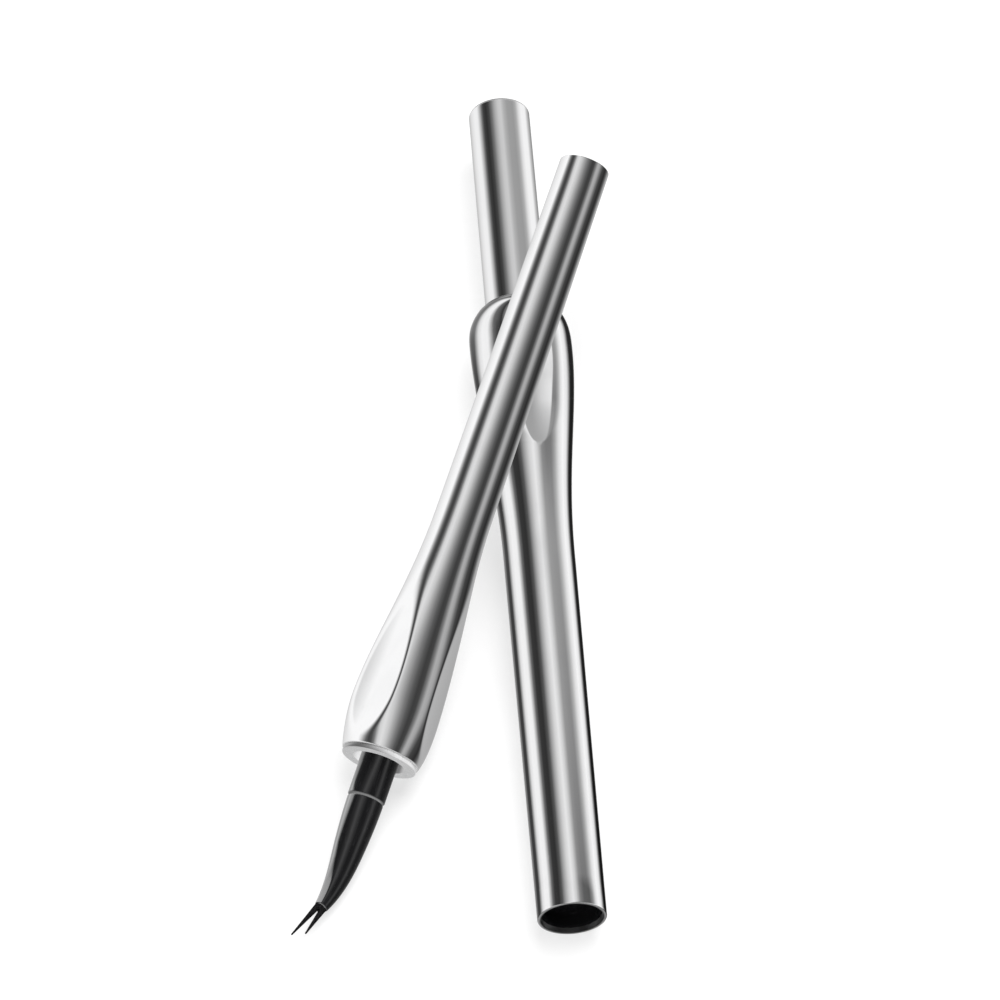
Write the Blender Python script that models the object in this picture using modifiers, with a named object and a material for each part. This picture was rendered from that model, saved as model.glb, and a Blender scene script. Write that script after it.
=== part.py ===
"""Two liquid eyebrow pencils: one capped, lying on the table, and one open, lying across it.

Metres, +Z up. Each pencil is modelled along its own axis: its ring face is at zero, +Z points to the
nib, the body runs down from zero. An empty then lays the pencil down.
"""
import math

import bmesh
import bpy
import numpy as np
from mathutils import Matrix, Vector
from mathutils.bvhtree import BVHTree

# Capped pencil, outside
CAPPED_BODY_LENGTH = 0.1052
CAPPED_REAR_RADIUS = 0.00508
CAPPED_BARREL_RADIUS = 0.0054
CAPPED_FLARE_RADIUS = 0.0080
CAPPED_FLARE_LENGTH = 0.0460
CAPPED_FLARE_PEAK = 0.0080
CAPPED_RING_RADIUS = 0.0057
CAPPED_SCOOP_FRONT = 0.0037
CAPPED_SCOOP_REAR = 0.0276
CAP_RADIUS = 0.0048
CAP_LENGTH = 0.0377
CAP_WALL = 0.0007
CAP_END = 0.0010
CAP_EDGE = 0.0006
CAP_INSERT = 0.0050

# Open pencil, outside
OPEN_BODY_LENGTH = 0.1006
OPEN_REAR_RADIUS = 0.0039
OPEN_BARREL_RADIUS = 0.0043
OPEN_FLARE_RADIUS = 0.00704
OPEN_FLARE_LENGTH = 0.0430
OPEN_FLARE_PEAK = 0.0085
OPEN_RING_RADIUS = 0.0057
OPEN_SCOOP_FRONT = 0.0016
OPEN_SCOOP_REAR = 0.0276
OPEN_BORE_RADIUS = 0.0039

# Shapes of both grips, as plain ratios and angles
RISE_POWER = 1.25
CAPPED_SHOULDER_POWER = 3.2
OPEN_SHOULDER_POWER = 1.8
SCOOP_COUNT = 3
CAPPED_SCOOP_ANGLE = math.radians(13)
OPEN_SCOOP_ANGLE = math.radians(34.3)

# Walls, gaps and edges that both pencils share
BARREL_WALL = 0.0006
RING_THICKNESS = 0.0010
SLEEVE_WALL = 0.0005
SLEEVE_LENGTH = 0.0120
FIT_GAP = 0.0003
REST_GAP = 0.0003
EDGE = 0.0002
OVERRUN = 0.0020

# Black front end
COLLAR_RADIUS = 0.0029
COLLAR_SHOW = 0.0059
COLLAR_FLANGE = 0.0020
SPIGOT_LENGTH = 0.0050
NOSE_PLUG_LENGTH = 0.0030
NOSE_PLUG_WALL = 0.0008
NOSE_RADIUS = 0.00275
NOSE_END_RADIUS = 0.00105
NOSE_BEND_LENGTH = 0.0104
NOSE_FULLNESS_POWER = 1.7
NOSE_FACET_REACH = 0.00185
NOSE_FACET_LENGTH = 0.0076
NOSE_FACET_ANGLE = math.radians(40)
NIB_SWEEP = 0.00108
NIB_SWEEP_POWER = 3.0
NIB_LIFT = 0.0015
NIB_LIFT_POWER = 1.8
BEND_ANGLE = math.radians(10.7)
CAPPED_BEND_SHARE = 0.5

# Nib, feed and ink
WICK_RADIUS = 0.0008
NIB_TAIL_RADIUS = 0.0006
NIB_GAP = 0.00015
NIB_SHOW = 0.0006
PRONG_ROOT_RADIUS = 0.00038
PRONG_TIP_RADIUS = 0.00012
PRONG_ROOT_SPREAD = 0.00036
PRONG_TIP_SPREAD = 0.00085
LONG_PRONG = 0.0054
SHORT_PRONG = 0.0040
PRONG_TURN = math.radians(4)
TANK_WALL = 0.0005
TANK_REAR_GAP = 0.0120
WICK_SOCKET = 0.0060
LINER_WALL = 0.0005
LINER_SETBACK = 0.0015
LINER_CROWN = 0.0052
NIB_AIR = 0.0012

# Rear plug
PLUG_RECESS = 0.0007
PLUG_DISH = 0.0020
PLUG_RIM = 0.0006
PLUG_LENGTH = 0.0060
PLUG_STEM_SHARE = 0.6

# Lying on the table
CAPPED_HEADING = math.radians(4.28)
OPEN_HEADING = math.radians(161.7)
OPEN_PLACE_X = -0.02053
OPEN_PLACE_Y = -0.07901
STEEPEST_REST = math.radians(25)

# Fineness of the turned pieces
GRIP_STEPS = 40
TUBE_STEPS = 32
CORE_STEPS = 20
RISE_POINTS = 14
SHOULDER_POINTS = 7
ARC_POINTS = 4
SETTLE_ROUNDS = 16
TOUCH_STATIONS = 160
MERGE_DISTANCE = 0.00001

CHROME = ("mirror chrome", (0.80, 0.80, 0.81), 0.08, 1.0)
SATIN = ("satin silver", (0.72, 0.72, 0.73), 0.32, 1.0)
BLACK = ("glossy black plastic", (0.012, 0.012, 0.014), 0.18, 0.0)
FIBRE = ("black nib fibre", (0.006, 0.006, 0.006), 0.65, 0.0)
INK = ("inked reservoir fibre", (0.05, 0.035, 0.028), 0.85, 0.0)
MILKY = ("milky tank plastic", (0.78, 0.78, 0.75), 0.35, 0.0)

CAPPED = {
    "name": "capped", "body": CAPPED_BODY_LENGTH, "rear": CAPPED_REAR_RADIUS,
    "barrel": CAPPED_BARREL_RADIUS, "flare": CAPPED_FLARE_RADIUS, "flare_length": CAPPED_FLARE_LENGTH,
    "peak": CAPPED_FLARE_PEAK, "ring": CAPPED_RING_RADIUS, "scoop_front": CAPPED_SCOOP_FRONT,
    "scoop_rear": CAPPED_SCOOP_REAR, "bore": CAP_RADIUS + FIT_GAP,
    "shoulder_power": CAPPED_SHOULDER_POWER, "scoop_angle": CAPPED_SCOOP_ANGLE,
    "bend_share": CAPPED_BEND_SHARE,
}
OPEN = {
    "name": "open", "body": OPEN_BODY_LENGTH, "rear": OPEN_REAR_RADIUS,
    "barrel": OPEN_BARREL_RADIUS, "flare": OPEN_FLARE_RADIUS, "flare_length": OPEN_FLARE_LENGTH,
    "peak": OPEN_FLARE_PEAK, "ring": OPEN_RING_RADIUS, "scoop_front": OPEN_SCOOP_FRONT,
    "scoop_rear": OPEN_SCOOP_REAR, "bore": OPEN_BORE_RADIUS,
    "shoulder_power": OPEN_SHOULDER_POWER, "scoop_angle": OPEN_SCOOP_ANGLE,
    "bend_share": 1.0,
}


def clear_scene():
    for thing in list(bpy.data.objects):
        bpy.data.objects.remove(thing, do_unlink=True)


def collection(name):
    group = bpy.data.collections.new(name)
    bpy.context.scene.collection.children.link(group)
    return group


def material(finish):
    name, colour, roughness, metallic = finish
    made = bpy.data.materials.get(name)
    if made:
        return made
    made = bpy.data.materials.new(name)
    made.use_nodes = True
    shader = made.node_tree.nodes["Principled BSDF"]
    shader.inputs["Base Color"].default_value = (*colour, 1.0)
    shader.inputs["Roughness"].default_value = roughness
    shader.inputs["Metallic"].default_value = metallic
    return made


def finish_object(thing, finish, frame, group):
    """Gives a piece its material, its pencil's frame and smooth round sides."""
    thing.data.materials.clear()
    thing.data.materials.append(material(finish))
    thing.data.shade_smooth()
    thing.data.set_sharp_from_angle(angle=math.radians(35))
    thing.parent = frame
    if thing.name not in group.objects:
        group.objects.link(thing)
    return thing


def turned(name, outline, steps, finish, frame, group):
    """A turned piece from (radius, height) points, down the outer side and back up the bore."""
    closed = min(radius for radius, height in outline) > 0
    mesh = bpy.data.meshes.new(name)
    points = [(radius, 0.0, height) for radius, height in outline]
    edges = [(i, i + 1) for i in range(len(points) - 1)]
    if closed:
        edges.append((len(points) - 1, 0))
    mesh.from_pydata(points, edges, [])
    thing = bpy.data.objects.new(name, mesh)
    screw = thing.modifiers.new("Turn", "SCREW")
    screw.steps = steps
    screw.render_steps = steps
    screw.use_merge_vertices = True
    screw.merge_threshold = MERGE_DISTANCE
    group.objects.link(thing)
    return baked(thing, finish, frame, group)


def baked(thing, finish, frame, group):
    """The evaluated shape of a piece, as a plain mesh object of the same name."""
    bpy.context.view_layer.update()
    graph = bpy.context.evaluated_depsgraph_get()
    mesh = bpy.data.meshes.new_from_object(thing.evaluated_get(graph))
    name = thing.name
    bpy.data.objects.remove(thing, do_unlink=True)
    weld = bmesh.new()
    weld.from_mesh(mesh)
    bmesh.ops.remove_doubles(weld, verts=weld.verts, dist=MERGE_DISTANCE)
    weld.to_mesh(mesh)
    weld.free()
    mesh.name = name
    return finish_object(bpy.data.objects.new(name, mesh), finish, frame, group)


def bent_rod(name, centres, radii, finish, frame, group, sides=3):
    """A round rod whose thickness changes along a bent centre line."""
    curve = bpy.data.curves.new(name, "CURVE")
    curve.dimensions = "3D"
    curve.bevel_depth = 1.0
    curve.bevel_resolution = sides
    curve.use_fill_caps = True
    line = curve.splines.new("POLY")
    line.points.add(len(centres) - 1)
    for point, centre, radius in zip(line.points, centres, radii):
        point.co = (*centre, 1.0)
        point.radius = radius
    thing = bpy.data.objects.new(name, curve)
    group.objects.link(thing)
    return baked(thing, finish, frame, group)


def cut(thing, cutter, operation="DIFFERENCE"):
    change = thing.modifiers.new(cutter.name, "BOOLEAN")
    change.operation = operation
    change.solver = "EXACT"
    change.object = cutter


def guide(thing, frame, group):
    """Marks a solid that only shapes another piece."""
    thing.parent = frame
    thing.hide_render = True
    thing.display_type = "WIRE"
    for owner in list(thing.users_collection):
        owner.objects.unlink(thing)
    group.objects.link(thing)
    return thing


def box_guide(name, low, high, turn, frame, group):
    """A box from corner to corner, turned about the pencil's axis."""
    mesh = bpy.data.meshes.new(name)
    shape = bmesh.new()
    bmesh.ops.create_cube(shape, size=1.0)
    size = [b - a for a, b in zip(low, high)]
    middle = [(a + b) / 2 for a, b in zip(low, high)]
    bmesh.ops.scale(shape, vec=size, verts=shape.verts)
    bmesh.ops.translate(shape, vec=middle, verts=shape.verts)
    shape.to_mesh(mesh)
    shape.free()
    thing = bpy.data.objects.new(name, mesh)
    group.objects.link(thing)
    thing.rotation_euler = (0.0, 0.0, turn)
    return guide(thing, frame, group)


def smooth_step(share):
    return share * share * (3 - 2 * share)


def outline_radius(pencil, depth):
    """Barrel radius at a depth below the ring face: shoulder, flare, then a slow taper to the rear."""
    if depth <= pencil["peak"]:
        share = 1 - depth / pencil["peak"]
        drop = share ** pencil["shoulder_power"]
        return pencil["flare"] - (pencil["flare"] - pencil["ring"]) * drop
    if depth <= pencil["flare_length"]:
        share = (pencil["flare_length"] - depth) / (pencil["flare_length"] - pencil["peak"])
        rise = smooth_step(share ** RISE_POWER)
        return pencil["barrel"] + (pencil["flare"] - pencil["barrel"]) * rise
    share = (depth - pencil["flare_length"]) / (pencil["body"] - pencil["flare_length"])
    return pencil["barrel"] + (pencil["rear"] - pencil["barrel"]) * share


def scoop_reach(pencil, depth):
    """Distance from the axis to a scoop: straight between the two points where it meets the outline."""
    front, rear = pencil["scoop_front"], pencil["scoop_rear"]
    share = (depth - front) / (rear - front)
    start = outline_radius(pencil, front)
    return start + (outline_radius(pencil, rear) - start) * share


def core_radius(pencil):
    return pencil["rear"] - BARREL_WALL


def tank_radius(pencil):
    return core_radius(pencil) - FIT_GAP


def spigot_radius(pencil):
    return tank_radius(pencil) - TANK_WALL - FIT_GAP


def sleeve_radius(pencil):
    return pencil["bore"] + SLEEVE_WALL


def build_barrel(pencil, frame, group, cutters):
    depths = list(np.linspace(RING_THICKNESS, pencil["peak"], SHOULDER_POINTS))
    depths += list(np.linspace(pencil["peak"], pencil["flare_length"], RISE_POINTS))[1:]
    outline = [(outline_radius(pencil, depth), -depth) for depth in depths]
    outline += [
        (pencil["rear"], -pencil["body"] + EDGE),
        (pencil["rear"] - EDGE, -pencil["body"]),
        (core_radius(pencil) + EDGE, -pencil["body"]),
        (core_radius(pencil), -pencil["body"] + EDGE),
        (core_radius(pencil), -SLEEVE_LENGTH - FIT_GAP),
        (sleeve_radius(pencil) + FIT_GAP, -SLEEVE_LENGTH - FIT_GAP),
        (sleeve_radius(pencil) + FIT_GAP, -RING_THICKNESS),
    ]
    name = pencil["name"] + "_barrel"
    barrel = turned(name, outline, GRIP_STEPS, CHROME, frame, group)
    for number in range(SCOOP_COUNT):
        turn = pencil["scoop_angle"] + math.tau * number / SCOOP_COUNT
        wide = pencil["flare"] + OVERRUN
        scoop = box_guide(
            f"{name}_scoop_{number + 1}", (-wide, 0.0, -pencil["scoop_rear"] - OVERRUN),
            (wide, wide, OVERRUN), turn, frame, cutters)
        for corner in scoop.data.vertices:
            if corner.co.y < wide / 2:
                corner.co.y = scoop_reach(pencil, -corner.co.z)
        cut(barrel, scoop)
    return barrel


def build_bushing(pencil, frame, group):
    """Ring face and the sleeve behind it, with a floor that carries the collar."""
    bore = pencil["bore"]
    outer = sleeve_radius(pencil)
    floor_hole = spigot_radius(pencil) + FIT_GAP
    outline = [
        (pencil["ring"] - EDGE, 0.0),
        (pencil["ring"], -EDGE),
        (pencil["ring"], -RING_THICKNESS + FIT_GAP),
        (outer, -RING_THICKNESS + FIT_GAP),
        (outer, -SLEEVE_LENGTH),
        (floor_hole, -SLEEVE_LENGTH),
        (floor_hole, -SLEEVE_LENGTH + SLEEVE_WALL),
        (bore, -SLEEVE_LENGTH + SLEEVE_WALL),
        (bore, -EDGE),
        (bore + EDGE, 0.0),
    ]
    return turned(pencil["name"] + "_bushing", outline, TUBE_STEPS, SATIN, frame, group)


def wick_hole():
    return WICK_RADIUS + FIT_GAP


def nose_plug_radius():
    return wick_hole() + NOSE_PLUG_WALL


def build_collar(pencil, frame, group):
    floor = -SLEEVE_LENGTH + SLEEVE_WALL + FIT_GAP
    socket = nose_plug_radius() + FIT_GAP
    outline = [
        (COLLAR_RADIUS - EDGE, COLLAR_SHOW),
        (COLLAR_RADIUS, COLLAR_SHOW - EDGE),
        (COLLAR_RADIUS, floor + COLLAR_FLANGE),
        (pencil["bore"] - FIT_GAP, floor + COLLAR_FLANGE),
        (pencil["bore"] - FIT_GAP, floor),
        (spigot_radius(pencil), floor),
        (spigot_radius(pencil), floor - SPIGOT_LENGTH),
        (wick_hole(), floor - SPIGOT_LENGTH),
        (wick_hole(), COLLAR_SHOW - NOSE_PLUG_LENGTH - FIT_GAP),
        (socket, COLLAR_SHOW - NOSE_PLUG_LENGTH - FIT_GAP),
        (socket, COLLAR_SHOW),
    ]
    return turned(pencil["name"] + "_collar", outline, TUBE_STEPS, BLACK, frame, group)


def liner_top():
    return CAP_LENGTH - CAP_END - FIT_GAP


def liner_ceiling():
    return liner_top() - LINER_CROWN


def nose_root():
    return COLLAR_SHOW + FIT_GAP


def nose_end():
    """The nose and its nib are as long as the cap leaves room for."""
    return liner_ceiling() - NIB_AIR - LONG_PRONG - NIB_SHOW


def bend_start():
    return nose_end() - NOSE_BEND_LENGTH


def centre_line(pencil, height):
    """Point on the nose's centre line: straight, then swept to the side and lifted."""
    share = max(0.0, (height - bend_start()) / NOSE_BEND_LENGTH)
    sweep = pencil["bend_share"] * NIB_SWEEP * share ** NIB_SWEEP_POWER
    lift = pencil["bend_share"] * NIB_LIFT * share ** NIB_LIFT_POWER
    side = Vector((-math.cos(BEND_ANGLE), math.sin(BEND_ANGLE), 0.0))
    top = Vector((math.sin(BEND_ANGLE), math.cos(BEND_ANGLE), 0.0))
    return side * sweep + top * lift + Vector((0.0, 0.0, height))


def nose_radius(height):
    share = (height - nose_root()) / (nose_end() - nose_root())
    return NOSE_RADIUS - (NOSE_RADIUS - NOSE_END_RADIUS) * share ** NOSE_FULLNESS_POWER


def nose_bore(height):
    """Bore of the nose: the wick's hole, narrowing along the bend to the nib's tail."""
    share = min(1.0, max(0.0, (height - bend_start()) / NOSE_BEND_LENGTH))
    end = NIB_TAIL_RADIUS + NIB_GAP
    return wick_hole() + (end - wick_hole()) * share


def build_nose(pencil, frame, group, cutters):
    name = pencil["name"] + "_nose"
    heights = list(np.linspace(nose_root(), bend_start(), 4))
    heights += list(np.linspace(bend_start(), nose_end(), 8))[1:]
    plug_foot = COLLAR_SHOW - NOSE_PLUG_LENGTH
    centres = [(0.0, 0.0, plug_foot), (0.0, 0.0, nose_root() - EDGE)]
    radii = [nose_plug_radius(), nose_plug_radius()]
    centres += [centre_line(pencil, height) for height in heights]
    radii += [nose_radius(height) for height in heights]
    nose = bent_rod(name, centres, radii, BLACK, frame, group, sides=5)
    bore_heights = [plug_foot - OVERRUN] + heights[:-1] + [nose_end(), nose_end() + OVERRUN]
    bore = bent_rod(
        name + "_bore", [centre_line(pencil, height) for height in bore_heights],
        [nose_bore(height) for height in bore_heights], BLACK, frame, group, sides=3)
    cut(nose, guide(bore, frame, cutters))
    wide = NOSE_RADIUS + OVERRUN
    facet = box_guide(
        name + "_facet", (-wide, NOSE_FACET_REACH, nose_end() - NOSE_FACET_LENGTH),
        (wide, wide + NIB_SWEEP, nose_end() + OVERRUN), NOSE_FACET_ANGLE, frame, cutters)
    cut(nose, facet)
    return nose


def build_nib(pencil, frame, group, cutters):
    """Tail in the nose's bore, and two prongs that part in front of the mouth."""
    name = pencil["name"] + "_nib"
    tip = nose_end() + NIB_SHOW
    tail_start = bend_start() + FIT_GAP
    heights = list(np.linspace(tail_start, tip, 8))
    radii = [NIB_TAIL_RADIUS] * len(heights)
    nib = bent_rod(name, [centre_line(pencil, height) for height in heights], radii,
                   FIBRE, frame, group, sides=2)
    mouth = centre_line(pencil, tip)
    ahead = (mouth - centre_line(pencil, tip - NIB_SHOW)).normalized()
    side = Vector((-math.cos(BEND_ANGLE), math.sin(BEND_ANGLE), 0.0))
    side = (side - ahead * side.dot(ahead)).normalized()
    turn = PRONG_TURN * pencil["bend_share"]
    ahead, side = (ahead * math.cos(turn) + side * math.sin(turn),
                   side * math.cos(turn) - ahead * math.sin(turn))
    for label, sense, length in (("long", 1, LONG_PRONG), ("short", -1, SHORT_PRONG)):
        root = mouth - ahead * PRONG_ROOT_RADIUS + side * sense * PRONG_ROOT_SPREAD * pencil["bend_share"]
        end = mouth + ahead * length + side * sense * PRONG_TIP_SPREAD * pencil["bend_share"]
        prong = bent_rod(f"{name}_{label}_prong", [root, end], [PRONG_ROOT_RADIUS, PRONG_TIP_RADIUS],
                         FIBRE, frame, group, sides=2)
        cut(nib, guide(prong, frame, cutters), "UNION")
    return nib


def reservoir_front(pencil):
    floor = -SLEEVE_LENGTH + SLEEVE_WALL + FIT_GAP
    return floor - SPIGOT_LENGTH - FIT_GAP


def tank_rear(pencil):
    return -pencil["body"] + TANK_REAR_GAP


def build_wick(pencil, frame, group):
    top = bend_start()
    foot = reservoir_front(pencil) - WICK_SOCKET + FIT_GAP
    outline = [(0.0, top), (WICK_RADIUS, top), (WICK_RADIUS, foot), (0.0, foot)]
    return turned(pencil["name"] + "_wick", outline, CORE_STEPS, FIBRE, frame, group)


def build_reservoir(pencil, frame, group):
    front = reservoir_front(pencil)
    rear = tank_rear(pencil) + TANK_WALL + FIT_GAP
    radius = spigot_radius(pencil)
    outline = [
        (0.0, front - WICK_SOCKET),
        (wick_hole(), front - WICK_SOCKET),
        (wick_hole(), front),
        (radius, front),
        (radius, rear),
        (0.0, rear),
    ]
    return turned(pencil["name"] + "_reservoir", outline, CORE_STEPS, INK, frame, group)


def build_tank(pencil, frame, group):
    """Ink tube around the reservoir, open towards the collar's spigot."""
    top = -SLEEVE_LENGTH - FIT_GAP
    outer = tank_radius(pencil)
    inner = outer - TANK_WALL
    rear = tank_rear(pencil)
    outline = [
        (0.0, rear + TANK_WALL),
        (inner, rear + TANK_WALL),
        (inner, top),
        (outer, top),
        (outer, rear),
        (0.0, rear),
    ]
    return turned(pencil["name"] + "_tank", outline, CORE_STEPS, MILKY, frame, group)


def build_end_plug(pencil, frame, group):
    """Dished plug in the rear mouth, with a stem that holds the tank forward."""
    radius = core_radius(pencil) - FIT_GAP
    mouth = -pencil["body"] + PLUG_RECESS
    outline = [
        (0.0, tank_rear(pencil) - FIT_GAP),
        (radius * PLUG_STEM_SHARE, tank_rear(pencil) - FIT_GAP),
        (radius * PLUG_STEM_SHARE, mouth + PLUG_LENGTH),
        (radius, mouth + PLUG_LENGTH),
        (radius, mouth),
        (radius - PLUG_RIM, mouth),
        (radius - PLUG_RIM - EDGE, mouth + PLUG_DISH),
        (0.0, mouth + PLUG_DISH),
    ]
    return turned(pencil["name"] + "_end_plug", outline, TUBE_STEPS, BLACK, frame, group)


def build_pencil(pencil, frame, group, cutters):
    build_barrel(pencil, frame, group, cutters)
    build_bushing(pencil, frame, group)
    build_collar(pencil, frame, group)
    build_nose(pencil, frame, group, cutters)
    build_nib(pencil, frame, group, cutters)
    build_wick(pencil, frame, group)
    build_reservoir(pencil, frame, group)
    build_tank(pencil, frame, group)
    build_end_plug(pencil, frame, group)


def build_cap_shell(frame, group):
    inner = CAP_RADIUS - CAP_WALL
    outline = [(0.0, CAP_LENGTH)]
    for number in range(ARC_POINTS + 1):
        angle = math.pi / 2 * (1 - number / ARC_POINTS)
        outline.append((CAP_RADIUS - CAP_EDGE + CAP_EDGE * math.cos(angle),
                        CAP_LENGTH - CAP_EDGE + CAP_EDGE * math.sin(angle)))
    outline += [
        (CAP_RADIUS, -CAP_INSERT),
        (inner, -CAP_INSERT),
        (inner, CAP_LENGTH - CAP_END),
        (0.0, CAP_LENGTH - CAP_END),
    ]
    return turned("cap_shell", outline, TUBE_STEPS, CHROME, frame, group)


def build_cap_liner(frame, group):
    """Inner cap: a cup over the nose, with a thick end close to the nib."""
    outer = CAP_RADIUS - CAP_WALL - FIT_GAP
    inner = outer - LINER_WALL
    foot = LINER_SETBACK - CAP_INSERT
    outline = [
        (0.0, liner_top()),
        (outer, liner_top()),
        (outer, foot),
        (inner, foot),
        (inner, liner_ceiling()),
        (0.0, liner_ceiling()),
    ]
    return turned("cap_liner", outline, TUBE_STEPS, MILKY, frame, group)


def build_cap(frame, group):
    build_cap_shell(frame, group)
    build_cap_liner(frame, group)


def empty(name, group, parent=None):
    made = bpy.data.objects.new(name, None)
    made.empty_display_size = CAP_RADIUS
    made.parent = parent
    group.objects.link(made)
    return made


def pieces_of(frame, group):
    found = []
    for thing in group.objects:
        above = thing.parent
        while above and above != frame:
            above = above.parent
        if thing.type == "MESH" and above == frame:
            found.append(thing)
    return found


def world_points(things):
    """Corners of every piece's finished shape, where they stand in the world."""
    bpy.context.view_layer.update()
    graph = bpy.context.evaluated_depsgraph_get()
    blocks = []
    for thing in things:
        shape = thing.evaluated_get(graph)
        mesh = shape.to_mesh()
        points = np.empty(len(mesh.vertices) * 3)
        mesh.vertices.foreach_get("co", points)
        place = np.array(thing.matrix_world)
        blocks.append(points.reshape(-1, 3) @ place[:3, :3].T + place[:3, 3])
        shape.to_mesh_clear()
    return np.concatenate(blocks)


def turn_for(heading, pitch):
    """Lays a pencil along a heading, its nib raised by the pitch, its top side up."""
    return (Matrix.Rotation(heading, 3, "Z") @ Matrix.Rotation(pitch - math.pi / 2, 3, "X")
            @ Matrix.Rotation(math.pi, 3, "Z"))


def set_down(frame, pieces, heading, pitch):
    """Turns a pencil and lowers it until its lowest point is on the table."""
    frame.rotation_euler = turn_for(heading, pitch).to_euler()
    frame.location.z = 0.0
    frame.location.z = -world_points(pieces)[:, 2].min()
    bpy.context.view_layer.update()


def lay_capped(frame, pieces):
    """The capped pencil lies on its flare and on its rear edge."""
    frame.location = (0.0, 0.0, 0.0)
    slope = (CAPPED_FLARE_RADIUS - CAPPED_REAR_RADIUS) / (CAPPED_BODY_LENGTH - CAPPED_FLARE_PEAK)
    set_down(frame, pieces, CAPPED_HEADING, math.atan(slope))


def surface_of(things):
    """One search tree over the finished faces of some pieces, in world places."""
    bpy.context.view_layer.update()
    graph = bpy.context.evaluated_depsgraph_get()
    points = []
    faces = []
    for thing in things:
        shape = thing.evaluated_get(graph)
        mesh = shape.to_mesh()
        start = len(points)
        points += [thing.matrix_world @ vertex.co for vertex in mesh.vertices]
        faces += [[start + index for index in face.vertices] for face in mesh.polygons]
        shape.to_mesh_clear()
    return BVHTree.FromPolygons(points, faces)


def underside_points(pencil):
    """Points around the barrel, close enough together to find where it would touch."""
    points = []
    for depth in np.linspace(RING_THICKNESS, pencil["body"], TOUCH_STATIONS):
        radius = outline_radius(pencil, depth)
        for angle in np.linspace(0.0, math.tau, GRIP_STEPS, endpoint=False):
            points.append(Vector((radius * math.cos(angle), radius * math.sin(angle), -depth)))
    return points


def clearance(frame, points, surface):
    """Smallest distance from the points to a closed surface, negative inside it."""
    least = math.inf
    for point in points:
        here = frame.matrix_world @ point
        nearest, normal, index, distance = surface.find_nearest(here)
        if (here - nearest).dot(normal) < 0:
            distance = -distance
        least = min(least, distance)
    return least


def lay_open(frame, pieces, capped_pieces):
    """The open pencil lies across the capped one: as flat as it can without touching it."""
    frame.location = (OPEN_PLACE_X, OPEN_PLACE_Y, 0.0)
    surface = surface_of(capped_pieces)
    points = underside_points(OPEN)
    flat, steep = 0.0, STEEPEST_REST
    for number in range(SETTLE_ROUNDS):
        tried = (flat + steep) / 2
        set_down(frame, pieces, OPEN_HEADING, -tried)
        if clearance(frame, points, surface) < REST_GAP:
            flat = tried
        else:
            steep = tried
    set_down(frame, pieces, OPEN_HEADING, -steep)


def centre_on_origin(frames, pieces):
    points = world_points(pieces)
    middle = (points.min(axis=0) + points.max(axis=0)) / 2
    for frame in frames:
        frame.location.x -= middle[0]
        frame.location.y -= middle[1]
    bpy.context.view_layer.update()


def main():
    clear_scene()
    group = collection("Eyebrow pencils")
    cutters = collection("Cutters")
    capped_frame = empty("capped_frame", group)
    cap_frame = empty("cap_frame", group, capped_frame)
    open_frame = empty("open_frame", group)
    build_pencil(CAPPED, capped_frame, group, cutters)
    build_cap(cap_frame, group)
    build_pencil(OPEN, open_frame, group, cutters)
    capped_pieces = pieces_of(capped_frame, group)
    open_pieces = pieces_of(open_frame, group)
    lay_capped(capped_frame, capped_pieces)
    lay_open(open_frame, open_pieces, capped_pieces)
    centre_on_origin([capped_frame, open_frame], capped_pieces + open_pieces)


main()
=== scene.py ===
import math

import bmesh
import bpy
import numpy as np
from mathutils import Matrix, Vector


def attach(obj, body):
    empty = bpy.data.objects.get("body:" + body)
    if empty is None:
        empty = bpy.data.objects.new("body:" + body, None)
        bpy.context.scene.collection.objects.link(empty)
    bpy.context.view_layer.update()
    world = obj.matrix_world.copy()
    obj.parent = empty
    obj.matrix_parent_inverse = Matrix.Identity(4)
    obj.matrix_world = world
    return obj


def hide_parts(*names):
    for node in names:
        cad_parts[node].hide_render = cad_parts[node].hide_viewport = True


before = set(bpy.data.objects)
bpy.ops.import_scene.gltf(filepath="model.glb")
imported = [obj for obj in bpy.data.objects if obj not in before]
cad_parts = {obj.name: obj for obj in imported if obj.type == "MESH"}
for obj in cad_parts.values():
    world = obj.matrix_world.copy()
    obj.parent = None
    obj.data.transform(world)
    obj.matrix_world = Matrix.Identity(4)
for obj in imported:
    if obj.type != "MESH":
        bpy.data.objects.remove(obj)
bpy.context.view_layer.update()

mm = 0.001
print("frame loaded")


# ---- node helpers

def place(socket, value, tree):
    if isinstance(value, bpy.types.NodeSocket):
        tree.links.new(value, socket)
    else:
        socket.default_value = value


def feed(tree, node, **inputs):
    for name, value in inputs.items():
        place(node.inputs[name.replace("_", " ")], value, tree)


def addNode(tree, kind, settings=None, **inputs):
    made = tree.nodes.new(kind)
    for name, value in (settings or {}).items():
        setattr(made, name, value)
    feed(tree, made, **inputs)
    return made


def calc(tree, operation, *values):
    made = tree.nodes.new("ShaderNodeMath")
    made.operation = operation
    for socket, value in zip(made.inputs, values):
        place(socket, value, tree)
    return made.outputs[0]


def remap(tree, value, low, high, newLow, newHigh):
    return addNode(tree, "ShaderNodeMapRange", Value=value, From_Min=low, From_Max=high,
                   To_Min=newLow, To_Max=newHigh).outputs["Result"]


def axes(tree, vector):
    return addNode(tree, "ShaderNodeSeparateXYZ", Vector=vector).outputs


def blendColours(tree, factor, first, second):
    made = tree.nodes.new("ShaderNodeMix")
    made.data_type = "RGBA"
    place(made.inputs[0], factor, tree)
    place(made.inputs[6], first, tree)
    place(made.inputs[7], second, tree)
    return made.outputs[2]


# ---- effects that several finishes share, each with one mask out

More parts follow.
